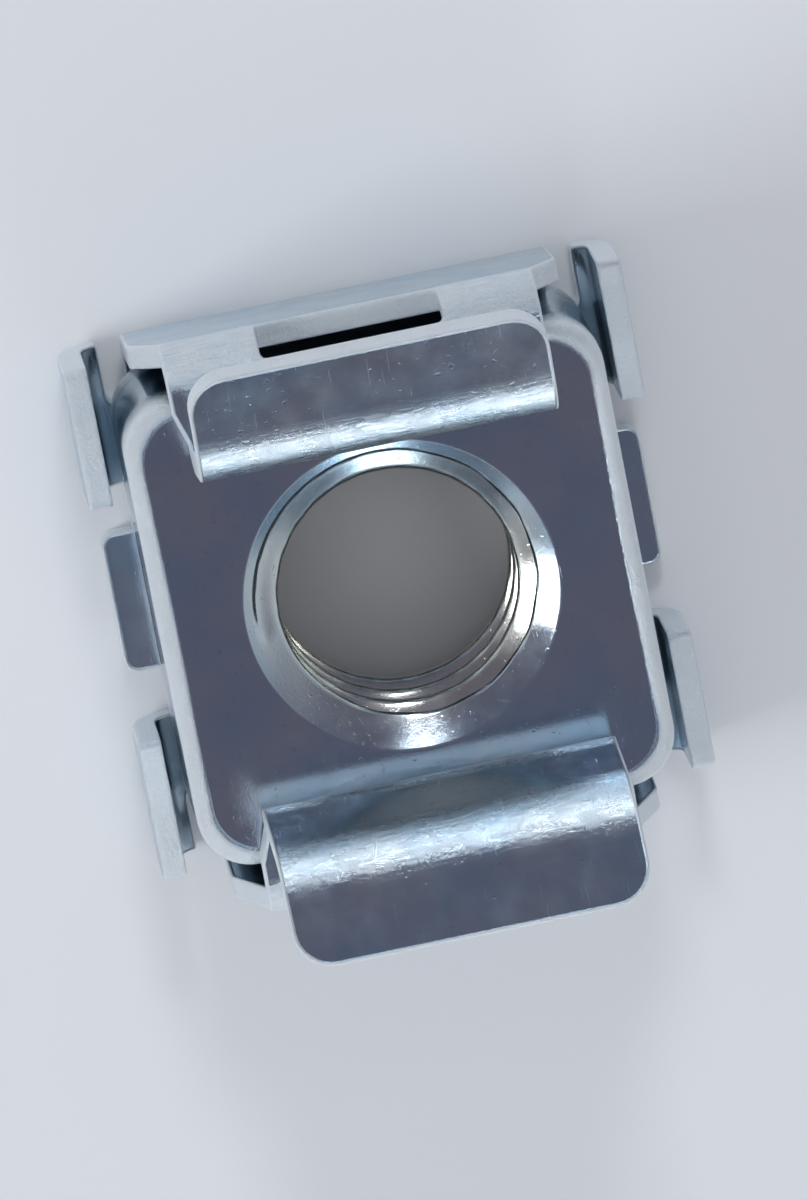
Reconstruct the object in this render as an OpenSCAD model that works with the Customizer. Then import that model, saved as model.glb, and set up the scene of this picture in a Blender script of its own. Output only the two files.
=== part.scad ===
// Cage nut for a square-holed rack rail: a loose square nut held in a folded spring cage.
// +Z points out of the screw hole, towards the front of the rail. The cage stands on its base at Z = 0.
// X runs from lip to lip and Y runs along the lips. All sizes are in millimetres.

/* [Nut] */
// Width of the square nut across its flats
nut_w = 10; // [9.6:0.1:10.4]
// Thickness of the nut
nut_t = 4.3; // [3.8:0.1:5]
// Bevel along the nut's front and back edges
nut_edge = 0.3; // [0.25:0.05:0.5]
// Radius of the nut's upright corners
nut_corner_r = 1.1; // [0.5:0.1:1.5]
// Tapping diameter of the nut's hole, the crests of its thread
tap_d = 5; // [4.9:0.05:5.2]
// Diameter of the countersink at each mouth of the hole
sink_d = 6.6; // [6:0.1:7]
// Angle of the countersink, across its whole cone
sink_angle = 120; // [90:5:130]

/* [Sheet] */
// Thickness of the spring sheet
sheet_t = 0.5; // [0.4:0.05:0.6]
// Inside radius where the base turns up into a side wall
wall_bend_r = 0.5; // [0.4:0.05:0.6]
// Inside radius where a side wall turns in over the nut
shoulder_bend_r = 0.4; // [0.3:0.05:0.5]
// Inside radius where a shoulder turns up into a neck
neck_bend_r = 0.15; // [0.1:0.05:0.3]
// Inside radius where a neck turns out into a lip
lip_bend_r = 0.7; // [0.5:0.05:0.9]
// Inside radius where the base turns up into an end tab
tab_bend_r = 0.35; // [0.25:0.05:0.45]

/* [Cage base and walls] */
// Width of the side walls, along Y
wall_w = 9; // [8.4:0.1:9.2]
// Outward lean of the side walls, in degrees
wall_lean = 6.5; // [4:0.5:9]
// Diameter of the hole in the base behind the nut
base_hole_d = 7.3; // [7:0.1:7.8]
// Play between the nut's front face and the shoulders over it
nut_play = 0.12; // [0.08:0.01:0.2]

/* [Ears] */
// Width of the shoulders, along Y
shoulder_w = 7.8; // [7.5:0.1:8.2]
// Width of the necks and lips, along Y
lip_w = 7.4; // [6.8:0.1:7.6]
// Rise of the shoulders towards the neck, in degrees
shoulder_rise = 16; // [10:1:20]
// Clear space between the two necks where they leave the shoulders
neck_gap = 7.2; // [7:0.1:7.4]
// Outward flare of the necks, in degrees
neck_flare = 8; // [5:1:10]
// Straight length of each neck between its bends
neck_run = 1.9; // [1.6:0.1:2.2]
// Rise of the lips towards their free edge, in degrees
lip_rise = 18; // [10:1:20]
// Straight length of each lip beyond its bend
lip_run = 1.6; // [1.3:0.1:1.8]
// Radius of the lips' free corners
lip_corner_r = 0.8; // [0.4:0.1:1.2]
// Length of the window across each shoulder bend, along Y
window_w = 3.8; // [3:0.1:4.4]

/* [End tabs] */
// Width of each end tab, along X
tab_w = 3; // [2.6:0.1:3.2]
// Distance from the middle of the cage to the near edge of a tab
tab_x = 2.5; // [2.4:0.1:2.7]
// Height of the tabs above the floor
tab_h = 2.5; // [2:0.1:3]
// Width of the flat tongue between two tabs
tongue_w = 3; // [2.4:0.1:3.4]
// How far the tongue reaches past the nut
tongue_reach = 0.7; // [0.5:0.05:0.8]

/* [Hidden] */
$fn = 96;
eps = 0.01;

// The nut sits flat on the base.
nut_z = sheet_t;
tap_r = tap_d / 2;
sink_r = sink_d / 2;
sink_h = (sink_r - tap_r) / tan(sink_angle / 2);

// The base is flat as far as the bends of its walls and tabs.
seat_x = nut_w / 2 - 0.3;
seat_y = nut_w / 2;

// Each bend turns the strip from one heading to the next.
wall_turn = 90 - wall_lean;
shoulder_turn = 90 + wall_lean - shoulder_rise;
neck_turn = 90 - shoulder_rise + neck_flare;
lip_turn = 90 - neck_flare - lip_rise;

// The wall is as long as it takes for the shoulder to clear the bevelled edge of the nut.
rise_slope = tan(shoulder_rise);
corner_out = seat_x + wall_bend_r * cos(wall_lean)
    - shoulder_bend_r * (cos(wall_lean) - sin(shoulder_rise));
corner_up = sheet_t + wall_bend_r * (1 - sin(wall_lean))
    + shoulder_bend_r * (sin(wall_lean) + cos(shoulder_rise));
nut_edge_x = nut_w / 2 - nut_edge;
wall_run = (nut_z + nut_t + nut_play - corner_up - (corner_out - nut_edge_x) * rise_slope)
    / (cos(wall_lean) + sin(wall_lean) * rise_slope);

// The shoulder is as long as it takes to bring the neck in to its place.
shoulder_out = corner_out + wall_run * sin(wall_lean);
shoulder_in = neck_gap / 2 + (neck_bend_r + sheet_t) * (cos(neck_flare) - sin(shoulder_rise));
shoulder_run = (shoulder_out - shoulder_in) / cos(shoulder_rise);

// The window takes out the whole thickness of the shoulder bend between the wall and the shoulder.
window_z = sheet_t + wall_bend_r * (1 - sin(wall_lean)) + wall_run * cos(wall_lean);
window_h = 2 * sheet_t + shoulder_bend_r;
window_x = shoulder_out - sheet_t / 2;
window_d = 2 * (sheet_t + shoulder_bend_r);

// The bevel on each wall's front corners brings the wall down to the shoulder's width.
bevel_y = (wall_w - shoulder_w) / 2;
bevel_run = 1;

// Slots free the ends of the wall bends from the roots of the tabs.
relief_w = seat_y - wall_w / 2;
notch_w = tab_x - tongue_w / 2;
tongue_corner_r = 0.3;
tab_run = tab_h - sheet_t - tab_bend_r;

// A square of side w with corners of radius r, centred on the origin.
module rounded_square(w, r) {
    square([w - 2 * r, w], center = true);
    square([w, w - 2 * r], center = true);
    for (x = [-1, 1], y = [-1, 1])
        translate([x * (w / 2 - r), y * (w / 2 - r)])
            circle(r);
}

// The outline of a square plate seen from its side, with its four long edges bevelled.
module bevelled_side(w, h, c) {
    polygon([
        [-w / 2 + c, 0], [w / 2 - c, 0], [w / 2, c], [w / 2, h - c],
        [w / 2 - c, h], [-w / 2 + c, h], [-w / 2, h - c], [-w / 2, c]
    ]);
}

// A flat run of the strip along +X. What follows it is placed at its end.
module run(length, width) {
    translate([0, -width / 2, 0])
        cube([length, width, sheet_t]);
    translate([length, 0, 0])
        children();
}

// A flat run that narrows over its last stretch from one width to the next.
module narrowing_run(length, width, end_width, bevel) {
    linear_extrude(sheet_t)
        polygon([
            [0, -width / 2], [length - bevel, -width / 2], [length, -end_width / 2],
            [length, end_width / 2], [length - bevel, width / 2], [0, width / 2]
        ]);
    translate([length, 0, 0])
        children();
}

// A last flat run with its free corners rounded.
module rounded_end(length, width, r) {
    linear_extrude(sheet_t) {
        translate([0, -width / 2])
            square([length - r, width]);
        translate([0, r - width / 2])
            square([length, width - 2 * r]);
        for (side = [-1, 1])
            translate([length - r, side * (width / 2 - r)])
                circle(r);
    }
}

// An arc of the strip about the Y axis, starting at the given angle from +X towards +Z.
module strip_arc(start, turn, r, width) {
    translate([0, width / 2, 0])
        rotate([90, 0, 0])
            rotate([0, 0, start])
                rotate_extrude(angle = turn)
                    translate([r, 0])
                        square([sheet_t, width]);
}

// A bend towards the strip's upper face.
module bend_up(turn, r, width) {
    centre = r + sheet_t;
    translate([0, 0, centre])
        strip_arc(-90, turn, r, width);
    translate([0, 0, centre])
        rotate([0, -turn, 0])
            translate([0, 0, -centre])
                children();
}

// A bend towards the strip's lower face.
module bend_down(turn, r, width) {
    translate([0, 0, -r])
        strip_arc(90 - turn, turn, r, width);
    translate([0, 0, -r])
        rotate([0, turn, 0])
            translate([0, 0, r])
                children();
}

// One side of the cage: wall, shoulder, neck and lip, folded from one strip.
module side_strip() {
    bend_up(wall_turn, wall_bend_r, wall_w)
        narrowing_run(wall_run, wall_w, shoulder_w, bevel_run)
            bend_up(shoulder_turn, shoulder_bend_r, shoulder_w)
                narrowing_run(shoulder_run, shoulder_w, lip_w, shoulder_run / 2)
                    bend_down(neck_turn, neck_bend_r, lip_w)
                        run(neck_run, lip_w)
                            bend_down(lip_turn, lip_bend_r, lip_w)
                                rounded_end(lip_run, lip_w, lip_corner_r);
}

// The opening that weakens the shoulder bend, so that the ear can spring inwards.
module ear_window() {
    translate([window_x, -window_w / 2, window_z])
        cube([window_d, window_w, window_h]);
}

// One of the four tabs that keep the nut from sliding out along Y.
module end_tab() {
    translate([tab_x + tab_w / 2, seat_y, 0])
        rotate([0, 0, 90])
            bend_up(90, tab_bend_r, tab_w)
                run(tab_run, tab_w);
}

// The flat tongue between two tabs.
module tongue() {
    reach = tongue_reach + eps;
    translate([0, seat_y - eps, 0])
        rotate([0, 0, 90])
            rounded_end(reach, tongue_w, tongue_corner_r);
}

// A round-bottomed slot cut along +X through the base, ending at the origin.
module relief_slot(width, length) {
    translate([width / 2, 0, -eps])
        cylinder(h = sheet_t + 2 * eps, d = width);
    translate([width / 2, -width / 2, -eps])
        cube([length, width, sheet_t + 2 * eps]);
}

// The flat base with its hole, its tongues and the reliefs of its bends.
module base_plate() {
    difference() {
        translate([-seat_x, -seat_y, 0])
            cube([2 * seat_x, 2 * seat_y, sheet_t]);
        translate([0, 0, -eps])
            cylinder(h = sheet_t + 2 * eps, d = base_hole_d);
        for (sx = [0, 1], sy = [0, 1])
            mirror([sx, 0, 0])
                mirror([0, sy, 0]) {
                    translate([seat_x - relief_w, seat_y - relief_w / 2, 0])
                        relief_slot(relief_w, relief_w);
                    translate([tab_x - notch_w / 2, seat_y - notch_w / 2, 0])
                        rotate([0, 0, 90])
                            relief_slot(notch_w, notch_w);
                }
    }
}

module cage() {
    color([0.70, 0.77, 0.82])
        difference() {
            union() {
                base_plate();
                for (sx = [0, 1])
                    mirror([sx, 0, 0])
                        translate([seat_x, 0, 0])
                            side_strip();
                for (sy = [0, 1])
                    mirror([0, sy, 0])
                        tongue();
                for (sx = [0, 1], sy = [0, 1])
                    mirror([sx, 0, 0])
                        mirror([0, sy, 0])
                            end_tab();
            }
            for (sx = [0, 1])
                mirror([sx, 0, 0])
                    ear_window();
        }
}

// The body of the nut before its hole is made.
module nut_blank() {
    intersection() {
        linear_extrude(nut_t)
            rounded_square(nut_w, nut_corner_r);
        translate([0, nut_w / 2, 0])
            rotate([90, 0, 0])
                linear_extrude(nut_w)
                    bevelled_side(nut_w, nut_t, nut_edge);
        translate([-nut_w / 2, 0, 0])
            rotate([90, 0, 90])
                linear_extrude(nut_w)
                    bevelled_side(nut_w, nut_t, nut_edge);
    }
}

module square_nut() {
    color([0.62, 0.68, 0.74])
        translate([0, 0, nut_z])
            difference() {
                nut_blank();
                translate([0, 0, -eps])
                    cylinder(h = nut_t + 2 * eps, r = tap_r);
                cylinder(h = sink_h, r1 = sink_r, r2 = tap_r);
                translate([0, 0, nut_t - sink_h])
                    cylinder(h = sink_h, r1 = tap_r, r2 = sink_r);
            }
}

cage();
square_nut();
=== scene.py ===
"""Dresses the rack cage nut: a folded spring cage and a square nut with a real thread."""

import itertools
import math

import bmesh
import bpy
import numpy as np
from bpy.props import FloatProperty, FloatVectorProperty, IntProperty, PointerProperty
from mathutils import Matrix, Vector, geometry, noise


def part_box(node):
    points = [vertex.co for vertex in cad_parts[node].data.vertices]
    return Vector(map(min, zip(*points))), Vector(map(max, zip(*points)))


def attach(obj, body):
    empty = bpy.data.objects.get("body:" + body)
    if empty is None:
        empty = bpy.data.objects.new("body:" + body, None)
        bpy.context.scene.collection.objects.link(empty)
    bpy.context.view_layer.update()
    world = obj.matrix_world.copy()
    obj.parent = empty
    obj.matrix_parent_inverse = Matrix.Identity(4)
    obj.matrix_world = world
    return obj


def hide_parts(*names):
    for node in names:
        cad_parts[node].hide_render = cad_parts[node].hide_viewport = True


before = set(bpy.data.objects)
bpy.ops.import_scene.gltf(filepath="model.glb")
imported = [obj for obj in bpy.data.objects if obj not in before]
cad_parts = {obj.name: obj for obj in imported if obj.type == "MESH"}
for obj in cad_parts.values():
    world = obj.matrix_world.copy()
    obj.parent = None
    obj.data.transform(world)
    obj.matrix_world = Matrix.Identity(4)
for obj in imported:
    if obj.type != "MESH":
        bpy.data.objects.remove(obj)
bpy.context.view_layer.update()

bl_info = {
    "name": "Rack cage nut",
    "version": (1, 0, 0),
    "blender": (4, 5, 0),
    "location": "View3D > Sidebar > Cage nut",
    "description": "Builds the folded cage, the threaded square nut and a plain stage for them",
    "category": "Object",
}

MM = 0.001
NUT_LOW, NUT_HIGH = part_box("square_nut")

# The flat base stops short of the nut's sides, where the walls' bends begin.
BASE_SHORT = 0.3 * MM
# Size of the bevel on the nut's edges that the shoulders clear.
NUT_EDGE = 0.3 * MM
# How far a tongue reaches past the roots of the tabs.
TONGUE_REACH = 0.7 * MM
# Length of the bevel on the front corners of the walls.
WALL_BEVEL = 1 * MM
# How far the window stays short of the shoulder.
WINDOW_SHORT = 0.1 * MM
# Spacing of the blank's mesh in its flats, and its turn per row in the bends.
GRID = 0.35 * MM
BEND_STEP = math.radians(7)
# Rows of the grid to each side of the middle, enough to reach past the tabs.
GRID_ROWS = 22
# Width of the rounded rim round the blank, and the clear strips beside it.
RIM = 0.075 * MM
RIM_CLEAR = 0.09 * MM
ON_LINE = 0.05 * MM
# Rows of the nut's mesh from one mouth of its hole to the other.
THREAD_ROWS = 110
# Marks of the nut's surfaces in its frosted and threaded attributes.
PLAIN, BEVELLED, THREADED = 0.0, 0.6, 1.0


def length(name, description, default):
    """A length in metres, shown with enough digits for thin sheet."""
    return FloatProperty(
        name=name, description=description, default=default, min=0.0, precision=5, unit="LENGTH"
    )


def angle(name, description, degrees):
    """An angle whose default is given in degrees."""
    return FloatProperty(
        name=name, description=description, default=math.radians(degrees), subtype="ANGLE"
    )


def tint(name, description, default):
    """A linear colour."""
    return FloatVectorProperty(
        name=name, description=description, default=default, size=3, min=0.0, max=1.0, subtype="COLOR"
    )


class CageSizes(bpy.types.PropertyGroup):
    """Sizes of the folded sheet, as they are in the solid cage."""

    sheet: length("Sheet", "Thickness of the spring sheet", NUT_LOW.z)
    wall_bend: length("Wall bend", "Inside radius from the base to a wall", 0.5 * MM)
    shoulder_bend: length("Shoulder bend", "Inside radius from a wall to its shoulder", 0.4 * MM)
    neck_bend: length("Neck bend", "Inside radius from a shoulder to its neck", 0.15 * MM)
    lip_bend: length("Lip bend", "Inside radius from a neck to its lip", 0.7 * MM)
    tab_bend: length("Tab bend", "Inside radius from the base to an end tab", 0.35 * MM)
    wall_lean: angle("Wall lean", "Outward lean of the walls", 6.5)
    shoulder_rise: angle("Shoulder rise", "Rise of the shoulders towards the necks", 16.0)
    neck_flare: angle("Neck flare", "Outward flare of the necks", 8.0)
    lip_rise: angle("Lip rise", "Rise of the lips towards their free edges", 18.0)
    neck_gap: length("Neck gap", "Clear space between the necks at their roots", 7.2 * MM)
    neck_run: length("Neck run", "Straight length of a neck", 1.9 * MM)
    lip_run: length("Lip run", "Straight length of a lip", 1.6 * MM)
    wall_width: length("Wall width", "Width of the walls", 9.0 * MM)
    shoulder_width: length("Shoulder width", "Width of the shoulders", 7.8 * MM)
    lip_width: length("Lip width", "Width of the necks and lips", 7.4 * MM)
    window_width: length("Window width", "Length of the window in a shoulder bend", 3.8 * MM)
    base_hole: length("Base hole", "Radius of the hole behind the nut", 3.65 * MM)
    tab_near: length("Tab place", "From the middle to the near edge of a tab", 2.5 * MM)
    tab_width: length("Tab width", "Width of an end tab", 3.0 * MM)
    tab_height: length("Tab height", "Height of an end tab above the floor", 2.5 * MM)
    tongue_width: length("Tongue width", "Width of the flat tongue between two tabs", 3.0 * MM)
    nut_play: length("Nut play", "Gap between the nut's face and the shoulders", 0.12 * MM)


class NutSizes(bpy.types.PropertyGroup):
    """Sizes of the square nut and of its thread."""

    edge: length("Edge bevel", "Bevel round the front and the back face", 0.3 * MM)
    corner: length("Corner radius", "Radius of the upright corners", 1.1 * MM)
    crest: length("Thread crest", "Radius of the thread's crests", 2.5 * MM)
    root: length("Thread root", "Radius of the thread's roots", 3.02 * MM)
    sink: length("Countersink", "Radius of the countersink at each mouth", 3.3 * MM)
    sink_angle: angle("Countersink angle", "Angle across the countersink's whole cone", 120.0)
    pitch: length("Pitch", "Rise of the thread in one turn", 1.0 * MM)


class Finish(bpy.types.PropertyGroup):
    """Colours of the plated metal, of the painted reflection in the thread, and of the stage."""

    sheet_zinc: tint("Sheet zinc", "Plating on the faces of the sheet", (0.50, 0.62, 0.70))
    edge_zinc: tint("Edge zinc", "Plating on sheared and stretched metal", (0.80, 0.85, 0.89))
    # Painted reflection: this warmer tint in the thread stands in for the cream glints that the thread
    # mirrors, not for a yellower plating.
    thread_painted_reflection: tint("Thread painted reflection", "Plating in the thread, a little yellower", (0.70, 0.69, 0.62))
    nut_zinc: tint("Nut zinc", "Plating on the nut", (0.50, 0.60, 0.68))
    floor: tint("Floor", "Colour of the floor", (0.86, 0.88, 0.90))


# ---------------------------------------------------------------- folding the sheet

def stretches(sizes):
    """The strip from the middle of the base to the lip's edge: straight runs and bends in turn.

    Each is (start, length, turn, radius, x, z, heading), measured along the middle of the sheet.
    """
    half = sizes.sheet / 2
    base_flat = NUT_HIGH.x - BASE_SHORT
    wall_run, shoulder_run = fitted_runs(sizes, base_flat)
    quarter = math.pi / 2
    plan = [
        (base_flat, 0.0, 0.0),
        (0.0, quarter - sizes.wall_lean, sizes.wall_bend),
        (wall_run, 0.0, 0.0),
        (0.0, quarter + sizes.wall_lean - sizes.shoulder_rise, sizes.shoulder_bend),
        (shoulder_run, 0.0, 0.0),
        (0.0, -(quarter - sizes.shoulder_rise + sizes.neck_flare), sizes.neck_bend),
        (sizes.neck_run, 0.0, 0.0),
        (0.0, -(quarter - sizes.neck_flare - sizes.lip_rise), sizes.lip_bend),
        (sizes.lip_run, 0.0, 0.0),
    ]
    found, start, x, z, heading = [], 0.0, 0.0, half, 0.0
    for run, turn, inside in plan:
        radius = inside + half
        size = run if turn == 0 else abs(turn) * radius
        found.append((start, size, turn, radius, x, z, heading))
        x, z, heading = along(found[-1], size)
        start += size
    return found


def fitted_runs(sizes, base_flat):
    """Straight lengths of the wall and of the shoulder, which have to clear the nut and meet the neck."""
    lean, rise, flare = sizes.wall_lean, sizes.shoulder_rise, sizes.neck_flare
    out = base_flat + sizes.wall_bend * math.cos(lean)
    out -= sizes.shoulder_bend * (math.cos(lean) - math.sin(rise))
    up = sizes.sheet + sizes.wall_bend * (1 - math.sin(lean))
    up += sizes.shoulder_bend * (math.sin(lean) + math.cos(rise))
    nut_edge = NUT_HIGH.x - NUT_EDGE
    slope = math.tan(rise)
    room = NUT_HIGH.z + sizes.nut_play - up - (out - nut_edge) * slope
    wall_run = room / (math.cos(lean) + math.sin(lean) * slope)
    shoulder_out = out + wall_run * math.sin(lean)
    bend = (sizes.neck_bend + sizes.sheet) * (math.cos(flare) - math.sin(rise))
    shoulder_run = (shoulder_out - sizes.neck_gap / 2 - bend) / math.cos(rise)
    return wall_run, shoulder_run


def along(stretch, distance):
    """Place and heading at a distance along one stretch."""
    _, size, turn, radius, x, z, heading = stretch
    if turn == 0:
        return x + distance * math.cos(heading), z + distance * math.sin(heading), heading
    side = math.copysign(1.0, turn)
    ahead = heading + side * distance / radius
    x += side * radius * (math.sin(ahead) - math.sin(heading))
    z -= side * radius * (math.cos(ahead) - math.cos(heading))
    return x, z, ahead


def on_strip(strip, sizes, s, y, height):
    """The folded place of a point of the flat blank in a side strip or the base."""
    stretch = strip[0]
    for candidate in strip:
        if abs(s) >= candidate[0]:
            stretch = candidate
    x, z, heading = along(stretch, abs(s) - stretch[0])
    lift = height - sizes.sheet / 2
    x -= lift * math.sin(heading)
    z += lift * math.cos(heading)
    return Vector((math.copysign(x, s), y, z))


def on_tab(sizes, x, y, height):
    """The folded place of a point of the flat blank in an end tab."""
    middle = sizes.tab_bend + sizes.sheet / 2
    beyond = abs(y) - NUT_HIGH.y
    turn = min(max(beyond, 0.0) / middle, math.pi / 2)
    lift = height - sizes.sheet / 2
    reach = NUT_HIGH.y + middle * math.sin(turn) - lift * math.sin(turn)
    rise = sizes.tab_bend + sizes.sheet - middle * math.cos(turn) + lift * math.cos(turn)
    rise += max(beyond - middle * math.pi / 2, 0.0)
    return Vector((x, math.copysign(reach, y), rise))


def folded(strip, sizes, s, y, height):
    """The place in the folded cage of a point of the flat blank."""
    in_tab = abs(y) > NUT_HIGH.y - 1e-7 and abs(s) > sizes.tab_near - 1e-7
    if in_tab:
        return on_tab(sizes, s, y, height)
    return on_strip(strip, sizes, s, y, height)


# ---------------------------------------------------------------- the flat blank

def rounded(corners, segments=8):
    """An outline through (x, y, radius) corners, each rounded off with an arc."""
    points = []
    for i, (x, y, r) in enumerate(corners):
        here = Vector((x, y))
        if r == 0 or i in (0, len(corners) - 1):
            points.append(here)
            continue
        back = (Vector(corners[i - 1][:2]) - here).normalized()
        on = (Vector(corners[i + 1][:2]) - here).normalized()
        opening = back.angle(on)
        reach = r / math.tan(opening / 2)
        centre = here + (back + on).normalized() * (r / math.sin(opening / 2))
        start = here + back * reach - centre
        sweep = math.pi - opening
        side = math.copysign(1.0, back.cross(on))
        for k in range(segments + 1):
            spin = Matrix.Rotation(-side * sweep * k / segments, 2)
            points.append(centre + spin @ start)
    return points


def quarter_outline(sizes, strip):
    """Corners of a quarter of the blank, from the middle of a tongue to the middle of a lip's edge."""
    starts = [stretch[0] for stretch in strip]
    wall_end, shoulder_start, neck_start = starts[3], starts[4], starts[5]
    lip_edge = starts[8] + sizes.lip_run
    seat = NUT_HIGH.y
    tongue, wall = sizes.tongue_width / 2, sizes.wall_width / 2
    shoulder, lip = sizes.shoulder_width / 2, sizes.lip_width / 2
    notch = (sizes.tab_near - tongue) / 2
    relief = (seat - wall) / 2
    relief_end = starts[1] - 2 * relief
    tab_far = sizes.tab_near + sizes.tab_width
    tab_edge = seat + (sizes.tab_bend + sizes.sheet / 2) * math.pi / 2
    tab_edge += sizes.tab_height - sizes.sheet - sizes.tab_bend
    tip = seat + TONGUE_REACH
    corners = [
        (0, tip, 0),
        (tongue, tip, 0.3 * MM),
        (tongue, seat - notch, notch),
        (sizes.tab_near, seat - notch, notch),
        (sizes.tab_near, tab_edge, 0.18 * MM),
        (tab_far, tab_edge, 0.18 * MM),
        (tab_far, seat, 0.1 * MM),
        (relief_end, seat, relief),
        (relief_end, wall, relief),
        (wall_end - WALL_BEVEL, wall, 0.4 * MM),
        (wall_end, shoulder, 0.3 * MM),
        ((shoulder_start + neck_start) / 2, shoulder, 0.2 * MM),
        (neck_start, lip, 0.2 * MM),
        (lip_edge, lip, 0.8 * MM),
        (lip_edge, 0, 0),
    ]
    return rounded(corners)


def whole_outline(quarter):
    """The closed outline of the blank, from its quarter."""
    loop = []
    for sx, sy, forward in ((1, 1, True), (1, -1, False), (-1, -1, True), (-1, 1, False)):
        points = quarter if forward else quarter[::-1]
        loop += [Vector((sx * p.x, sy * p.y)) for p in points[:-1]]
    return loop


def window_outline(sizes, strip, side):
    """The window across a shoulder bend, with small round corners."""
    low, high = strip[3][0], strip[4][0] - WINDOW_SHORT
    half, r = sizes.window_width / 2, 0.12 * MM
    corners = [
        (low, 0, 0),
        (low, half, r),
        (high, half, r),
        (high, -half, r),
        (low, -half, r),
        (low, 0, 0),
    ]
    points = [Vector((side * p.x, side * p.y)) for p in rounded(corners, 5)[:-1]]
    return points


def hole_outline(radius, count=120):
    """A round hole in the middle of the base."""
    turns = [2 * math.pi * k / count for k in range(count)]
    return [Vector((radius * math.cos(t), radius * math.sin(t))) for t in turns]


def distinct(loop):
    """The loop without points that repeat the one before."""
    return [p for back, p in zip(loop[-1:] + loop[:-1], loop) if (p - back).length > 1e-3 * MM]


def on_grid(loop, across, up, clear):
    """The loop with a point wherever it crosses a line of the grid."""
    found = []
    loop = distinct(loop)
    for here, ahead in zip(loop, loop[1:] + loop[:1]):
        found.append(here)
        step = ahead - here
        shares = []
        for axis, lines in ((0, across), (1, up)):
            if abs(step[axis]) > 1e-9:
                shares += [(line - here[axis]) / step[axis] for line in lines]
        margin = clear / step.length
        last = 0.0
        for share in sorted(shares):
            if last + margin < share < 1 - margin:
                found.append(here + step * share)
                last = share
    return found


def inward_normals(loop, inside):
    """Mitred normals of a closed loop, towards the metal."""
    count = len(loop)
    area = sum(loop[i].cross(loop[(i + 1) % count]) for i in range(count))
    side = math.copysign(1.0, area) * (1 if inside else -1)
    normals = []
    for i in range(count):
        back = (loop[i] - loop[i - 1]).normalized()
        on = (loop[(i + 1) % count] - loop[i]).normalized()
        a, b = Vector((-back.y, back.x)) * side, Vector((-on.y, on.x)) * side
        middle = (a + b).normalized()
        normals.append(middle / max(middle.dot(a), 0.3))
    return normals


def winding(points, loop):
    """True for the points that lie inside the loop."""
    ring = np.array([(p.x, p.y) for p in loop])
    ahead = np.roll(ring, -1, axis=0)
    x, y = points[:, :1], points[:, 1:]
    crosses = (ring[:, 1] > y) != (ahead[:, 1] > y)
    slope = (ahead[:, 0] - ring[:, 0]) / (ahead[:, 1] - ring[:, 1] + 1e-15)
    hits = crosses & (x < slope * (y - ring[:, 1]) + ring[:, 0])
    return hits.sum(axis=1) % 2 == 1


def in_metal(points, loops):
    """True for the points in the outline and in none of the holes."""
    kept = winding(points, loops[0])
    for hole in loops[1:]:
        kept &= ~winding(points, hole)
    return kept


def grid_points(across, up, loops, clear):
    """Crossings of the grid that lie in the metal, clear of its edges."""
    points = np.array([(x, y) for x in across for y in up])
    points = points[in_metal(points, loops)]
    edge = np.array([(p.x, p.y) for loop in loops for p in loop])
    gaps = [np.hypot(*(edge - p).T).min() for p in points]
    return points[np.array(gaps) > clear]


def stations(strip, bend_step, run_step):
    """Distances along the strip at which the mesh has a row, closer together in the bends."""
    rows = []
    for start, size, turn, radius, *_ in strip:
        step = run_step if turn == 0 else bend_step * radius
        count = max(2, math.ceil(size / step))
        rows += [start + size * k / count for k in range(count)]
    return sorted({round(sign * row, 9) for row in rows for sign in (-1, 1)})


# The sheet's cut edge from its top face down: depth in millimetres, and share of the thickness.
CUT_PROFILE = (
    (0.040, 1.000), (0.016, 0.990), (0.004, 0.965), (0.000, 0.900), (0.004, 0.72), (0.010, 0.50),
    (0.003, 0.30), (0.000, 0.170), (0.012, 0.085), (0.040, 0.025), (0.075, 0.000),
)


def blank_mesh(sizes, strip):
    """Vertices and faces of the folded sheet, with each vertex's place in the flat blank."""
    across = stations(strip, BEND_STEP, GRID)
    up = [GRID * k for k in range(-GRID_ROWS, GRID_ROWS + 1)]
    loops = [whole_outline(quarter_outline(sizes, strip)), hole_outline(sizes.base_hole)]
    loops += [window_outline(sizes, strip, side) for side in (1, -1)]
    loops = [on_grid(loop, across, up, ON_LINE) for loop in loops]
    normals = [inward_normals(loop, k == 0) for k, loop in enumerate(loops)]
    rims = [[p + n * RIM for p, n in zip(loop, ns)] for loop, ns in zip(loops, normals)]
    inner = grid_points(across, up, loops, RIM + RIM_CLEAR)
    points = [p for rim in rims for p in rim] + [Vector(p) for p in inner]
    edges, first = [], 0
    for rim in rims:
        edges += [(first + k, first + (k + 1) % len(rim)) for k in range(len(rim))]
        first += len(rim)
    scaled = [p / MM for p in points]
    flat, _, faces, origin, _, _ = geometry.delaunay_2d_cdt(scaled, edges, [], 0, 1e-6)
    centres = np.array([sum((flat[v] for v in f), Vector((0, 0))) / len(f) for f in faces])
    kept = in_metal(centres * MM, rims)
    faces = [f for f, keep in zip(faces, kept) if keep]
    return [p * MM for p in flat], faces, origin, loops, normals


def chipped(point, height, amount):
    """A small uneven depth for torn metal."""
    at = Vector((point.x, point.y, height)) / MM
    return amount * (noise.noise(at * 5.0) + 0.6 * noise.noise(at * 14.0))


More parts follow.
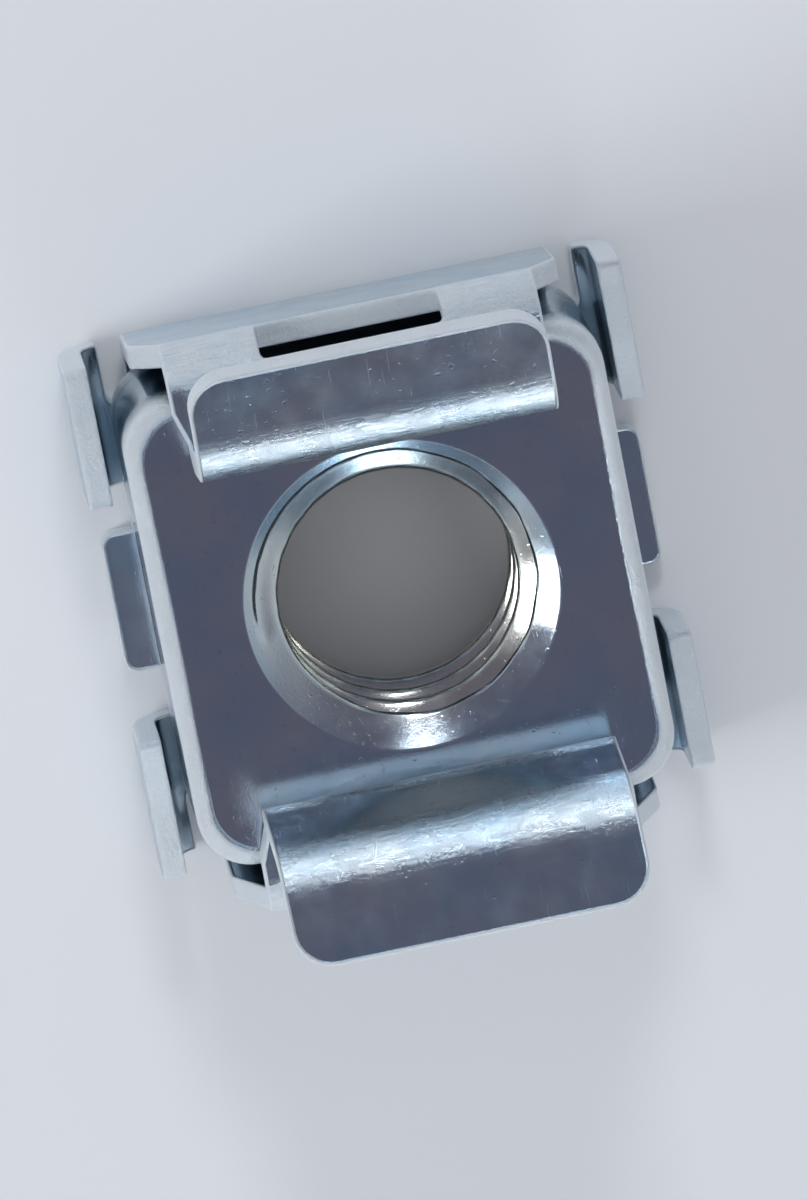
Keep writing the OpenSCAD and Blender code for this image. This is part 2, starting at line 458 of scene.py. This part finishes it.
def build_cage(sizes):
    """The folded cage as one closed mesh."""
    strip = stretches(sizes)
    flat, faces, origin, loops, normals = blank_mesh(sizes, strip)
    sheet = sizes.sheet
    places, blank, cut = [], [], []

    def add(p, height, edge):
        places.append(folded(strip, sizes, p.x, p.y, height))
        blank.append(Vector((p.x, p.y, height)) / MM)
        cut.append(edge)
        return len(places) - 1

    top = [add(p, sheet, 0.0) for p in flat]
    bottom = [add(p, 0.0, 0.0) for p in flat]
    polygons = [[top[v] for v in f] for f in faces] + [[bottom[v] for v in f][::-1] for f in faces]
    where = {source: k for k, sources in enumerate(origin) for source in sources}
    first = 0
    for loop, ns in zip(loops, normals):
        columns = []
        for k, (p, n) in enumerate(zip(loop, ns)):
            column = [top[where[first + k]]]
            for depth, share in CUT_PROFILE[:-1]:
                height = share * sheet
                torn = 1.0 - abs(2 * share - 0.9)
                inset = depth * MM + chipped(p, height, 0.012 * MM) * max(torn, 0.0)
                column.append(add(p + n * max(inset, 0.0), height, 1.0))
            column.append(bottom[where[first + k]])
            columns.append(column)
        first += len(loop)
        for a, b in zip(columns, columns[1:] + columns[:1]):
            for k in range(len(a) - 1):
                polygons.append([a[k], b[k], b[k + 1], a[k + 1]])
    return places, polygons, blank, cut, strip


def stretched(strip, s, height, sheet):
    """How much the metal is stretched at a place: 1 outside the shoulder bend, less in the others."""
    amounts = {1: 0.25, 3: 1.0, 5: 0.8, 7: 0.3}
    for index, amount in amounts.items():
        start, size, turn, *_ = strip[index]
        outside = height < sheet / 2 if turn > 0 else height > sheet / 2
        if outside:
            middle = abs(abs(s) - start - size / 2)
            share = 1 - max(middle - size * 0.42, 0.0) / (size * 0.16)
            if share > 0:
                return amount * share
    return 0.0


def new_piece(name, places, polygons):
    """A smooth-shaded mesh object with its normals outwards."""
    mesh = bpy.data.meshes.new(name)
    mesh.from_pydata([tuple(p) for p in places], [], polygons)
    shape = bmesh.new()
    shape.from_mesh(mesh)
    bmesh.ops.recalc_face_normals(shape, faces=shape.faces)
    shape.to_mesh(mesh)
    shape.free()
    mesh.polygons.foreach_set("use_smooth", [True] * len(mesh.polygons))
    piece = bpy.data.objects.new(name, mesh)
    bpy.context.scene.collection.objects.link(piece)
    return piece


def set_attribute(piece, name, kind, values):
    """One value a vertex, for the materials to read."""
    attribute = piece.data.attributes.new(name, kind, "POINT")
    field = "vector" if kind == "FLOAT_VECTOR" else "value"
    attribute.data.foreach_set(field, np.array(values, np.float32).ravel())


# ---------------------------------------------------------------- the nut

def nut_turns(sizes, straight=36, corner=12):
    """Directions round the nut, closer together at its upright corners."""
    half = NUT_HIGH.x
    edge = math.atan2(half - sizes.corner, half)
    turns = []
    for side in range(4):
        middle = side * math.pi / 2
        turns += [middle - edge + 2 * edge * k / straight for k in range(straight)]
        gap = math.pi / 2 - 2 * edge
        turns += [middle + edge + gap * k / corner for k in range(corner)]
    return turns


def square_reach(turn, half, corner):
    """Distance from the axis to a rounded square, in one direction."""
    a = (turn + math.pi / 4) % (math.pi / 2) - math.pi / 4
    c, s = math.cos(a), abs(math.sin(a))
    flat = half / c
    if flat * s <= half - corner:
        return flat
    centre = half - corner
    along_ray = centre * (c + s)
    off = 2 * centre * centre - along_ray * along_ray
    return along_ray + math.sqrt(max(corner * corner - off, 0.0))


def thread_radius(z, turn, sizes, low, high):
    """Radius of the threaded wall at a height and direction, fading out at the countersinks."""
    phase = (z / sizes.pitch - turn / (2 * math.pi)) % 1.0
    wave = abs(2 * phase - 1)
    depth = min(max((wave - 0.125) / 0.62, 0.0), 1.0)
    depth = depth * depth * (3 - 2 * depth) * 0.35 + depth * 0.65
    cone = math.tan(sizes.sink_angle / 2)
    thread = sizes.crest + (sizes.root - sizes.crest) * depth
    mouth = sizes.sink - cone * min(z - low, high - z)
    return max(thread, mouth)


def build_nut(sizes):
    """The nut as a ring of sections: outside, front face, countersink, thread and back again."""
    low, high, half = NUT_LOW.z, NUT_HIGH.z, NUT_HIGH.x
    edge = sizes.edge
    places, kind = [], []
    turns = nut_turns(sizes)
    bevel = [(math.sin(a), 1 - math.cos(a)) for a in (0.0, 0.26, 0.52, 0.785, 1.05, 1.31, 1.571)]
    count = 0
    for turn in turns:
        section = []
        wide = square_reach(turn, half, sizes.corner)
        for share in (0.25, 0.5, 0.75):
            section.append((wide, low + edge + (high - low - 2 * edge) * share, PLAIN))
        for out, up in bevel:
            section.append((wide - edge * up, high - edge + edge * out, BEVELLED))
        face = wide - edge
        for share in (0.06, 0.2, 0.4, 0.6, 0.8, 0.94):
            section.append((face + (sizes.sink + 0.02 * MM - face) * share, high, PLAIN))
        section.append((sizes.sink + 0.03 * MM, high, PLAIN))
        for k in range(THREAD_ROWS + 1):
            z = high - (high - low) * k / THREAD_ROWS
            section.append((thread_radius(z, turn, sizes, low, high), z, THREADED))
        section.append((sizes.sink + 0.03 * MM, low, PLAIN))
        for share in (0.94, 0.8, 0.6, 0.4, 0.2, 0.06):
            section.append((face + (sizes.sink + 0.02 * MM - face) * share, low, PLAIN))
        for out, up in bevel[::-1]:
            section.append((wide - edge * up, low + edge - edge * out, BEVELLED))
        count = len(section)
        for r, z, part in section:
            places.append(Vector((r * math.cos(turn), r * math.sin(turn), z)))
            kind.append(part)
    polygons = []
    for i, j in itertools.product(range(len(turns)), range(count)):
        a, b = i * count, ((i + 1) % len(turns)) * count
        k = (j + 1) % count
        polygons.append([a + j, a + k, b + k, b + j])
    return places, polygons, kind


# ---------------------------------------------------------------- materials

class Nodes:
    """Short names for making shader nodes in one material or world."""

    def __init__(self, tree):
        self.tree = tree
        tree.nodes.clear()

    def add(self, kind, **settings):
        node = self.tree.nodes.new("ShaderNode" + kind)
        for name, value in settings.items():
            setattr(node, name, value)
        return node

    def put(self, value, socket):
        if isinstance(value, bpy.types.NodeSocket):
            self.tree.links.new(value, socket)
        else:
            socket.default_value = value

    def math(self, operation, a, b=0.0, clamp=False):
        node = self.add("Math", operation=operation, use_clamp=clamp)
        self.put(a, node.inputs[0])
        self.put(b, node.inputs[1])
        return node.outputs[0]

    def blend(self, share, a, b):
        node = self.add("Mix", data_type="RGBA")
        self.put(share, node.inputs[0])
        self.put(a, node.inputs[6])
        self.put(b, node.inputs[7])
        return node.outputs[2]

    def between(self, value, low, high, to_low=0.0, to_high=1.0):
        node = self.add("MapRange")
        for socket, number in zip(node.inputs, (value, low, high, to_low, to_high)):
            self.put(number, socket)
        return node.outputs[0]

    def noise(self, vector, scale, detail=2.0, rough=0.5, distort=0.0):
        node = self.add("TexNoise")
        self.put(vector, node.inputs["Vector"])
        node.inputs["Scale"].default_value = scale
        node.inputs["Detail"].default_value = detail
        node.inputs["Roughness"].default_value = rough
        node.inputs["Distortion"].default_value = distort
        return node.outputs["Fac"]

    def squeezed(self, vector, scale, turn=0.0):
        node = self.add("Mapping")
        self.put(vector, node.inputs["Vector"])
        node.inputs["Scale"].default_value = scale
        node.inputs["Rotation"].default_value = (0.0, 0.0, turn)
        return node.outputs["Vector"]

    def attribute(self, name, output):
        return self.add("Attribute", attribute_name=name).outputs[output]

    def bump(self, height, distance, below=None):
        node = self.add("Bump")
        node.inputs["Strength"].default_value = 1.0
        node.inputs["Distance"].default_value = distance
        self.put(height, node.inputs["Height"])
        if below is not None:
            self.put(below, node.inputs["Normal"])
        return node.outputs["Normal"]


def scratches(nodes, place, turns, threshold):
    """Fine straight scratches that run in a few directions."""
    total = 0.0
    for k, turn in enumerate(turns):
        lines = nodes.noise(nodes.squeezed(place, (0.35, 14.0, 14.0), turn), 1.6 + 0.3 * k, 1.0)
        hit = nodes.between(lines, threshold, threshold + 0.04)
        total = nodes.math("ADD", total, hit, clamp=True)
    return total


def zinc(name, flat, torn, place, rough_share, roughness, wave, thread=None):
    """Bright zinc plate: smooth flats, and rough pale metal where it was cut or stretched; the nut's
    thread gets a warmer painted reflection.
    """
    material = bpy.data.materials.new(name)
    material.use_nodes = True
    nodes = Nodes(material.node_tree)
    shader = nodes.add("BsdfPrincipled")
    out = nodes.add("OutputMaterial")
    material.node_tree.links.new(shader.outputs[0], out.inputs[0])
    vector = place(nodes)
    rough = rough_share(nodes)

    cloud = nodes.noise(vector, 0.45, 3.0, 0.55)
    specks = nodes.between(nodes.noise(vector, 7.0, 2.0, 0.6), 0.66, 0.74)
    lines = scratches(nodes, vector, (0.2, 1.1, 1.75, 2.6), 0.76)
    cool = (flat[0] * 0.90, flat[1] * 0.97, flat[2] * 1.04, 1.0)
    warm = (flat[0] * 1.10, flat[1] * 1.02, flat[2] * 0.99, 1.0)
    colour = nodes.blend(nodes.between(cloud, 0.35, 0.65), cool, warm)
    dull = tuple(c * 0.72 for c in flat) + (1.0,)
    colour = nodes.blend(nodes.math("MULTIPLY", specks, 0.55), colour, dull)
    colour = nodes.blend(rough, colour, tuple(torn) + (1.0,))
    # Painted reflection: the thread is blended towards a warmer tint, more so deeper in the hole, in
    # place of the cream glints it mirrors.
    if thread is not None:
        colour = nodes.blend(nodes.attribute("threaded", "Fac"), colour, tuple(thread) + (1.0,))
    nodes.put(colour, shader.inputs["Base Color"])

    patches = nodes.noise(vector, 1.3, 4.0, 0.6)
    haze = nodes.between(patches, 0.3, 0.7, roughness - 0.05, roughness + 0.07)
    haze = nodes.math("ADD", haze, nodes.math("MULTIPLY", lines, 0.08))
    haze = nodes.math("ADD", haze, nodes.math("MULTIPLY", rough, 0.24), clamp=True)
    nodes.put(haze, shader.inputs["Roughness"])

    slow = nodes.noise(vector, 0.32, 2.0, 0.5)
    normal = nodes.bump(slow, wave)
    peel = nodes.noise(vector, 16.0, 3.0, 0.6)
    normal = nodes.bump(peel, 0.0012 * MM, normal)
    dents, grooves = nodes.math("MULTIPLY", specks, -1.0), nodes.math("MULTIPLY", lines, 0.35)
    pits = nodes.math("SUBTRACT", dents, grooves)
    normal = nodes.bump(pits, 0.0025 * MM, normal)
    grit = nodes.noise(vector, 13.0, 5.0, 0.72)
    normal = nodes.bump(nodes.math("MULTIPLY", grit, rough), 0.060 * MM, normal)
    nodes.put(normal, shader.inputs["Normal"])
    shader.inputs["Metallic"].default_value = 1.0
    return material


def sheet_place(nodes):
    """The flat blank's own coordinates, in millimetres."""
    return nodes.attribute("blank_place", "Vector")


def solid_place(nodes):
    """The object's own coordinates, in millimetres."""
    place = nodes.add("TexCoord").outputs["Object"]
    scaled = nodes.add("VectorMath", operation="SCALE")
    nodes.put(place, scaled.inputs[0])
    scaled.inputs["Scale"].default_value = 1 / MM
    return scaled.outputs[0]


def sheet_torn(nodes):
    """Share of torn or stretched metal on the sheet."""
    streaks = nodes.noise(nodes.squeezed(sheet_place(nodes), (6.0, 0.8, 1.0)), 2.5, 3.0, 0.6)
    uneven = nodes.between(streaks, 0.25, 0.6, 0.4, 1.0)
    bend = nodes.math("MULTIPLY", nodes.attribute("stretched", "Fac"), uneven)
    return nodes.math("MAXIMUM", nodes.attribute("cut_edge", "Fac"), bend)


def nut_torn(nodes):
    """Share of rough metal on the nut, which is its bevels."""
    return nodes.attribute("frosted", "Fac")


# ---------------------------------------------------------------- operators

class CAGENUT_OT_cage(bpy.types.Operator):
    """Fold the cage from its flat blank"""

    bl_idname = "cagenut.cage"
    bl_label = "Folded cage"

    def execute(self, context):
        sizes, finish = context.scene.cage_sizes, context.scene.cage_finish
        places, polygons, blank, cut, strip = build_cage(sizes)
        piece = new_piece("folded_cage", places, polygons)
        if len(piece.data.polygons) < 1000:
            raise RuntimeError("the cage's blank could not be meshed")
        set_attribute(piece, "blank_place", "FLOAT_VECTOR", [tuple(p) for p in blank])
        set_attribute(piece, "cut_edge", "FLOAT", cut)
        sheet = sizes.sheet
        strains = [
            stretched(strip, p.x * MM, p.z * MM, sheet) if abs(p.y * MM) < NUT_HIGH.y else 0.0
            for p in blank
        ]
        set_attribute(piece, "stretched", "FLOAT", strains)
        material = zinc(
            "zinc_sheet", finish.sheet_zinc, finish.edge_zinc, sheet_place, sheet_torn, 0.20, 0.05 * MM
        )
        piece.data.materials.append(material)
        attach(piece, "root")
        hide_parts("cage")
        return {"FINISHED"}


class CAGENUT_OT_nut(bpy.types.Operator):
    """Make the square nut with its thread"""

    bl_idname = "cagenut.nut"
    bl_label = "Threaded square nut"

    def execute(self, context):
        sizes, finish = context.scene.nut_sizes, context.scene.cage_finish
        places, polygons, kind = build_nut(sizes)
        piece = new_piece("threaded_nut", places, polygons)
        set_attribute(piece, "frosted", "FLOAT", [1.0 if k == BEVELLED else 0.0 for k in kind])
        # The threaded share grows with depth into the hole, up to 0.8, and sets how strongly the painted
        # reflection tints the thread.
        sunk = [max(NUT_HIGH.z - p.z, 0.0) / MM if k == THREADED else 0.0 for p, k in zip(places, kind)]
        set_attribute(piece, "threaded", "FLOAT", [min(depth, 0.8) for depth in sunk])
        material = zinc(
            "zinc_nut", finish.nut_zinc, finish.edge_zinc, solid_place, nut_torn, 0.16, 0.03 * MM,
            finish.thread_painted_reflection,
        )
        piece.data.materials.append(material)
        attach(piece, "root")
        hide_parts("square_nut")
        return {"FINISHED"}


# Name, place, size, power, colour, and whether the metal mirrors the lamp.
LAMPS = (
    ("far_softbox", (-0.20, 0.02, 0.15), 0.05, 0.13, (0.96, 0.98, 1.0), True),
    ("near_softbox", (0.22, 0.02, 0.045), 0.06, 0.10, (0.96, 0.98, 1.0), True),
    ("left_softbox", (0.02, -0.22, 0.16), 0.10, 0.25, (0.96, 0.98, 1.0), True),
    ("overhead_fill", (0.0, 0.0, 0.5), 0.6, 0.6, (1.0, 0.99, 0.97), False),
)
# The sky that the metal mirrors: pale up to one height, dark from the other.
SKY_LOW, SKY_HIGH = (0.58, 0.63, 0.66, 1.0), (0.15, 0.14, 0.18, 1.0)
SKY_FROM, SKY_TO = 0.42, 0.62
FLOOR_REACH = 2
# The camera's direction from the nut, its roll, what it looks at, how far off, and its width of view.
CAMERA_TOWARD = (-0.238, -0.048, 0.970)
CAMERA_ROLL = math.radians(11.1)
CAMERA_TARGET = (0.0, 0.0, 0.0052)
CAMERA_DISTANCE = 0.30
VIEW_WIDTH = 0.0165
VIEW_SHAPE = 1200 / 807
SENSOR = 36


def add_lamp(name, place, size, power, colour, mirrored):
    """A square soft box that faces the middle of the nut."""
    light = bpy.data.lights.new(name, "AREA")
    light.shape = "SQUARE"
    light.size = size
    light.energy = power
    light.color = colour
    lamp = bpy.data.objects.new(name, light)
    lamp.location = place
    lamp.rotation_euler = (Vector((0, 0, 0.004)) - Vector(place)).to_track_quat("-Z", "Y").to_euler()
    lamp.visible_glossy = mirrored
    bpy.context.scene.collection.objects.link(lamp)


def build_world():
    """A pale sky with a dark patch overhead, for the metal to mirror."""
    world = bpy.data.worlds.new("studio")
    world.use_nodes = True
    nodes = Nodes(world.node_tree)
    sky = nodes.add("Background")
    out = nodes.add("OutputWorld")
    world.node_tree.links.new(sky.outputs[0], out.inputs[0])
    direction = nodes.add("SeparateXYZ")
    nodes.put(nodes.add("TexCoord").outputs["Generated"], direction.inputs[0])
    height = direction.outputs["Z"]
    share = nodes.between(height, SKY_FROM, SKY_TO)
    nodes.put(nodes.blend(share, SKY_LOW, SKY_HIGH), sky.inputs["Color"])
    sky.inputs["Strength"].default_value = 1.0
    bpy.context.scene.world = world


def build_floor(colour):
    """A wide plain floor under the nut."""
    far = FLOOR_REACH
    corners = [(-far, -far, 0), (far, -far, 0), (far, far, 0), (-far, far, 0)]
    piece = new_piece("floor", corners, [[0, 1, 2, 3]])
    material = bpy.data.materials.new("plain_floor")
    material.use_nodes = True
    shader = material.node_tree.nodes["Principled BSDF"]
    shader.inputs["Base Color"].default_value = tuple(colour) + (1.0,)
    shader.inputs["Roughness"].default_value = 0.9
    shader.inputs["Specular IOR Level"].default_value = 0.1
    piece.data.materials.append(material)


def build_camera():
    """A far camera that looks down the screw hole from a little to one side."""
    down = Vector((1, 0, 0))
    roll = CAMERA_ROLL
    z = Vector(CAMERA_TOWARD).normalized()
    x_axis = (down - z * down.dot(z)).normalized()
    y_axis = z.cross(x_axis)
    up = -(x_axis * math.cos(roll) - y_axis * math.sin(roll))
    right = up.cross(z)
    camera = bpy.data.objects.new("camera", bpy.data.cameras.new("camera"))
    place = Vector(CAMERA_TARGET) + z * CAMERA_DISTANCE
    camera.matrix_world = Matrix((
        (right.x, up.x, z.x, place.x),
        (right.y, up.y, z.y, place.y),
        (right.z, up.z, z.z, place.z),
        (0, 0, 0, 1),
    ))
    camera.data.sensor_width = SENSOR
    camera.data.lens = SENSOR * CAMERA_DISTANCE / (VIEW_WIDTH * VIEW_SHAPE)
    camera.data.clip_start = 0.01
    camera.data.clip_end = 10
    bpy.context.scene.collection.objects.link(camera)
    bpy.context.scene.camera = camera


class CAGENUT_OT_stage(bpy.types.Operator):
    """Set up the floor, the lights and the camera"""

    bl_idname = "cagenut.stage"
    bl_label = "Stage"

    def execute(self, context):
        scene = context.scene
        scene.view_settings.view_transform = "Standard"
        build_world()
        build_floor(scene.cage_finish.floor)
        for lamp in LAMPS:
            add_lamp(*lamp)
        build_camera()
        return {"FINISHED"}


class CAGENUT_PT_panel(bpy.types.Panel):
    """Lists the pieces of the cage nut"""

    bl_idname = "CAGENUT_PT_panel"
    bl_label = "Cage nut"
    bl_space_type = "VIEW_3D"
    bl_region_type = "UI"
    bl_category = "Cage nut"

    def draw(self, context):
        for operator in OPERATORS:
            self.layout.operator(operator.bl_idname)
        for group in (context.scene.cage_sizes, context.scene.nut_sizes, context.scene.cage_finish):
            box = self.layout.box()
            for name in group.__annotations__:
                box.prop(group, name)


OPERATORS = (CAGENUT_OT_cage, CAGENUT_OT_nut, CAGENUT_OT_stage)
CLASSES = (CageSizes, NutSizes, Finish) + OPERATORS + (CAGENUT_PT_panel,)


def register():
    for item in CLASSES:
        bpy.utils.register_class(item)
    bpy.types.Scene.cage_sizes = PointerProperty(type=CageSizes)
    bpy.types.Scene.nut_sizes = PointerProperty(type=NutSizes)
    bpy.types.Scene.cage_finish = PointerProperty(type=Finish)


def unregister():
    del bpy.types.Scene.cage_finish
    del bpy.types.Scene.nut_sizes
    del bpy.types.Scene.cage_sizes
    for item in reversed(CLASSES):
        bpy.utils.unregister_class(item)


def main():
    register()
    bpy.ops.cagenut.cage()
    bpy.ops.cagenut.nut()
    bpy.ops.cagenut.stage()


if __name__ == "__main__":
    main()
